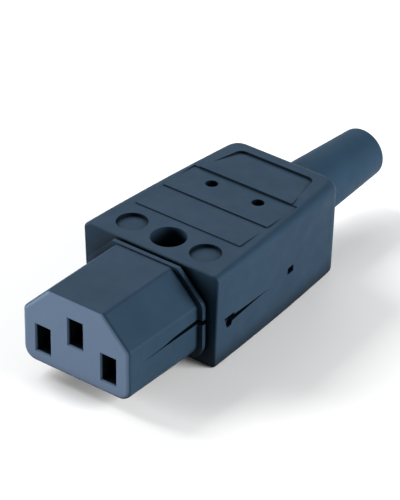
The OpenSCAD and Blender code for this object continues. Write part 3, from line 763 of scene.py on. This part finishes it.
def screw_head(node, face, way, on_rim):
    """The head of a screw, cut off just past its bearing face, with round edges."""
    bm = clean_copy(node)
    bmesh.ops.bisect_plane(bm, geom=[*bm.verts, *bm.edges, *bm.faces], dist=1e-7, clear_outer=True,
                           plane_co=(0, 0, face + way * JUST_PAST), plane_no=(0, 0, way))
    bmesh.ops.holes_fill(bm, edges=[e for e in bm.edges if e.is_boundary], sides=0)
    round_edges(bm, RIM_ROUND, segments=4, keep=on_rim)
    round_edges(bm, BURR_ROUND)
    return bm


print("rims rounded by", round(RIM_ROUND / MM, 2), "mm, burrs by", round(BURR_ROUND / MM, 2), "mm")

# %% [markdown]
# ### Shanks
#
# The new shank starts plain, because a die can't cut a thread right up to the head. The thread then runs in
# over half a pitch. The tip is a short cone, so that the screw finds its hole: no point may lie outside it.

# %% A ring of a threaded shank
PLAIN_NECK = 0.4 * MM
TIP_CONE = 0.4
SHANK_POINTS = 40


def shank_ring(axis, z, gone, length, shank_r, pitch):
    """Points round the shank at height z, when so much of its length is gone since the head."""
    run_in = min(1, max(0, (gone - PLAIN_NECK) / (pitch / 2)))
    cone = shank_r - max(0, gone - length + TIP_CONE * shank_r)
    ring = []
    for i in range(SHANK_POINTS):
        a = math.tau * i / SHANK_POINTS
        r = min(cone, shank_r - THREAD_DEPTH * run_in * (1 - thread_height(z, a, pitch)))
        ring.append((axis.x + r * math.cos(a), axis.y + r * math.sin(a), z))
    return ring


print("threads start", round(PLAIN_NECK / MM, 1), "mm from the head")

# %% [markdown]
# ### Screws
#
# A screw is a head with a skin of shank rings under it, closed at both ends. Head and shank overlap a little
# and stay separate shells of one mesh, because nobody can see where they meet. The rings of a screw that
# points down are turned round, so that the outside of the skin still looks out.

# %% Screws with real threads
def screw(node, pitch):
    """A screw piece: the solid's head and a threaded shank."""
    axis, head_r, shank_r, start, face, tip = measure_screw(node)
    way = 1 if tip > face else -1

    def on_rim(edge):
        return all(abs(v.co.z - start) < 0.01 * MM and (v.co.xy - axis).length > head_r * 0.98
                   for v in edge.verts)
    bm = screw_head(node, face, way, on_rim)
    length = abs(tip - face)
    steps = int(length / (pitch / RINGS_A_TURN))
    rings = [shank_ring(axis, face + way * length * k / steps, length * k / steps, length, shank_r, pitch)
             for k in range(steps + 1)]
    rows = skin(bm, [ring[::way] for ring in rings])
    bm.faces.new(rows[-1])
    bm.faces.new(rows[0][::-1])
    return make_piece(bm, node + "_threaded", node, "screw_steel")


for node, pitch in PITCHES.items():
    piece = screw(node, pitch)
    print(piece.name, "has", len(piece.data.polygons), "faces")

# %% [markdown]
# ### Housing nut
#
# A nut is turned before it is cut off, so its corners are cut down by a shallow cone at both ends. Between
# the cones and the flats this leaves the curved edges that make a nut look like a nut. The hexagon's radius
# grows towards each corner, and the cone takes off more where the radius is larger.

# %% Hexagon with its corners cut down
NUT_POINTS = 96
CONE_ANGLE = math.radians(30)
CONE_START = 0.97
nut_low, nut_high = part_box("housing_nut")
nut_x, nut_y = (nut_low.x + nut_high.x) / 2, (nut_low.y + nut_high.y) / 2
flat_r = (nut_high.y - nut_low.y) / 2

nut_angles = [math.tau * i / NUT_POINTS for i in range(NUT_POINTS)]
hexagon = [flat_r / math.cos(a % (math.pi / 3) - math.pi / 6) for a in nut_angles]
cut = [(r - flat_r * CONE_START) * math.tan(CONE_ANGLE) for r in hexagon]
print("nut", round(2 * flat_r / MM, 1), "mm across flats, corners cut by", round(max(cut) / MM, 2), "mm")

# %% [markdown]
# The bore is threaded in the same way as a screw, with the ridge pointing in. It is a stack of rings again,
# each a list of points that have a radius and a height of their own.

# %% Threaded bore
NUT_BORE_R = 1.55 * MM
NUT_PITCH = 0.5 * MM
BORE_LEAD = 0.25 * MM


def nut_ring(radii, heights):
    """Points round the nut's axis, with these radii and heights. One number does for all points."""
    radii = [radii] * NUT_POINTS if isinstance(radii, float) else radii
    heights = [heights] * NUT_POINTS if isinstance(heights, float) else heights
    return [(nut_x + r * math.cos(a), nut_y + r * math.sin(a), z)
            for a, r, z in zip(nut_angles, radii, heights)]


depth = nut_high.z - nut_low.z - 2 * BORE_LEAD
bore_steps = int(depth / (NUT_PITCH / RINGS_A_TURN))
bore_rings = []
for k in range(bore_steps + 1):
    z = nut_high.z - BORE_LEAD - depth * k / bore_steps
    ridge = [THREAD_DEPTH * (1 - thread_height(z, a, NUT_PITCH)) for a in nut_angles]
    bore_rings.append(nut_ring([NUT_BORE_R - r for r in ridge], z))
print("turns in the bore:", round(depth / NUT_PITCH, 1))

# %% [markdown]
# The nut's skin runs down through the bore, out along the lower face, up the flats and back in along the
# upper face, and its last ring is joined to its first.

# %% Nut
BORE_FLARE = 0.2 * MM
low_z, high_z = nut_low.z, nut_high.z

nut_mesh = bmesh.new()
rows = skin(nut_mesh, bore_rings + [
    nut_ring(NUT_BORE_R + BORE_FLARE, low_z), nut_ring(flat_r * CONE_START, low_z),
    nut_ring(hexagon, [low_z + c for c in cut]), nut_ring(hexagon, [high_z - c for c in cut]),
    nut_ring(flat_r * CONE_START, high_z), nut_ring(NUT_BORE_R + BORE_FLARE, high_z)])
for i in range(NUT_POINTS):
    j = (i + 1) % NUT_POINTS
    nut_mesh.faces.new((rows[-1][i], rows[-1][j], rows[0][j], rows[0][i]))
bmesh.ops.recalc_face_normals(nut_mesh, faces=nut_mesh.faces)
housing_nut = make_piece(nut_mesh, "housing_nut_chamfered", "housing_nut", "screw_steel")
print(housing_nut.name, "has", len(housing_nut.data.polygons), "faces")

# %% [markdown]
# ## Stamped pieces
#
# Contacts, washers and springs are punched from strip, and the cord grip bar is moulded. Their solids already
# have the right shape, so they are kept as they are and get a finish. A bevel modifier takes their sharp
# edges away when they are drawn, and the solids themselves are left alone.

# %% Finishes and edge rounds for the kept solids
def dress(names, slot, width):
    """Gives solids a finish, and rounds their edges with a modifier."""
    for name in names:
        kept = nodes[name]
        kept.data.materials.clear()
        kept.data.materials.append(finishes[slot][0])
        edge = kept.modifiers.new("edge", "BEVEL")
        edge.width = width
        edge.segments = 2
        edge.limit_method = "ANGLE"
        edge.angle_limit = CREASE
        edge.harden_normals = True


dress(["contact_" + t for t in TERMINALS], "contact_brass", 0.08 * MM)
dress(["clamp_washer_" + t for t in TERMINALS], "contact_brass", 0.08 * MM)
dress(["spring_" + t for t in TERMINALS], "spring_steel", 0.05 * MM)
dress(["cord_grip_bar"], "bar_plastic", 0.15 * MM)
print("kept solids dressed:", len([n for n in nodes if nodes[n].modifiers]))

# %% [markdown]
# ## Floor, light and camera
#
# ### Floor
#
# The connector lies on pale paper. A plane without end would turn grey towards the horizon, because the light
# doesn't reach that far. So the paper is a disc that is large enough for every shadow, and what is seen past
# its edge is as pale as the disc itself.

# %% Paper on the table
FLOOR_RADIUS = 0.32
MIDDLE_Y = 0.035

disc = bmesh.new()
bmesh.ops.create_circle(disc, cap_ends=True, segments=96, radius=FLOOR_RADIUS,
                        matrix=Matrix.Translation((0, MIDDLE_Y, FLOOR_Z)))
floor_mesh = bpy.data.meshes.new("floor")
disc.to_mesh(floor_mesh)
disc.free()
floor = bpy.data.objects.new("floor", floor_mesh)
bpy.context.scene.collection.objects.link(floor)
paper, paper_tree, paper_shader = new_finish("floor_paper")
paper_shader.inputs["Base Color"].default_value = (0.90, 0.90, 0.90, 1)
paper_shader.inputs["Roughness"].default_value = 0.8
floor_mesh.materials.append(paper)
print("floor", round(2 * FLOOR_RADIUS, 2), "m across, at", round(FLOOR_Z / MM, 1), "mm")

# %% [markdown]
# ### The room
#
# A white room lights everything from all sides and leaves no shape in a dark object. So the room gives only a
# little light. The eye still has to see white behind the paper's edge. The Light Path node tells rays from
# the camera from all others, and the room is bright for those alone. Colours are shown as they are, without
# a film look.

# %% A dim room that looks white
ROOM_LIGHT = 0.12
ROOM_SEEN = 1.0

room = bpy.data.worlds.new("room")
room.use_nodes = True
sky = room.node_tree.nodes["Background"]
sky.inputs["Color"].default_value = (1, 1, 1, 1)
rays = room.node_tree.nodes.new("ShaderNodeLightPath")
strength = spread(room.node_tree, rays.outputs["Is Camera Ray"], ROOM_LIGHT, ROOM_SEEN, 0, 1)
room.node_tree.links.new(strength, sky.inputs["Strength"])
bpy.context.scene.world = room
bpy.context.scene.view_settings.view_transform = "Standard"
print("the room lights with", ROOM_LIGHT, "and is seen with", ROOM_SEEN)

# %% [markdown]
# ### Soft boxes
#
# Dark plastic needs light from large, soft sources that stand where its faces look. One box stands low in
# front on the left and brightens the mating face. One stands on the right for the long side, one on the left
# for the chamfer and the top, and a weak one behind lifts the rear edges. None stands on the camera's side,
# between the front and the right, so the shoulder, the slots and the joint stay dark.

# %% Four soft boxes
BOXES = {"front_low": (-50, 6, 0.7, 0.35, 8.1), "back": (218, 35, 0.8, 0.5, 1.5),
         "right": (110, 22, 0.7, 0.4, 7.2), "left": (-90, 35, 0.7, 0.4, 5.3)}


def towards(azimuth, elevation):
    """Unit vector in that direction, in degrees. Azimuth 0 looks at the mating face, 90 at the right side."""
    a, e = math.radians(azimuth), math.radians(elevation)
    return Vector((math.sin(a) * math.cos(e), -math.cos(a) * math.cos(e), math.sin(e)))


def soft_box(name, azimuth, elevation, distance, size, power):
    """A square lamp that looks at the connector from that direction. Metres and watts."""
    lamp = bpy.data.lights.new(name, "AREA")
    lamp.size = size
    lamp.energy = power
    box = bpy.data.objects.new(name, lamp)
    away = towards(azimuth, elevation)
    box.location = Vector((0, MIDDLE_Y, 0)) + away * distance
    box.rotation_euler = away.to_track_quat("Z", "Y").to_euler()
    bpy.context.scene.collection.objects.link(box)


for name, setting in BOXES.items():
    soft_box(name, *setting)
    print(name, "gives", setting[-1], "W")

# %% [markdown]
# ### Camera
#
# The camera looks down on the connector from the front right, so that the mating face, the top and the long
# side show at once. A long lens from half a metre away keeps the long edges nearly parallel, as a product
# picture has them. A camera looks along its own minus Z. So it is turned until its Z axis points back from
# the connector to where it stands, and is then rolled by a fraction of a degree.

# %% Camera
CAMERA_FROM = (37.9, 32.46)
CAMERA_ROLL = 0.42
CAMERA_DISTANCE = 0.5661
CAMERA_TARGET = Vector((-0.0014, MIDDLE_Y, 0.00258))
LENS = 237.5

camera_data = bpy.data.cameras.new("camera")
camera_data.lens = LENS
camera_data.sensor_width = 36
camera = bpy.data.objects.new("camera", camera_data)
back = towards(*CAMERA_FROM)
camera.location = CAMERA_TARGET + back * CAMERA_DISTANCE
look = back.to_track_quat("Z", "Y").to_matrix()
camera.rotation_euler = (look @ Matrix.Rotation(math.radians(CAMERA_ROLL), 3, "Z")).to_euler()
bpy.context.scene.collection.objects.link(camera)
bpy.context.scene.camera = camera
print("camera at", [round(c, 3) for c in camera.location], "m")
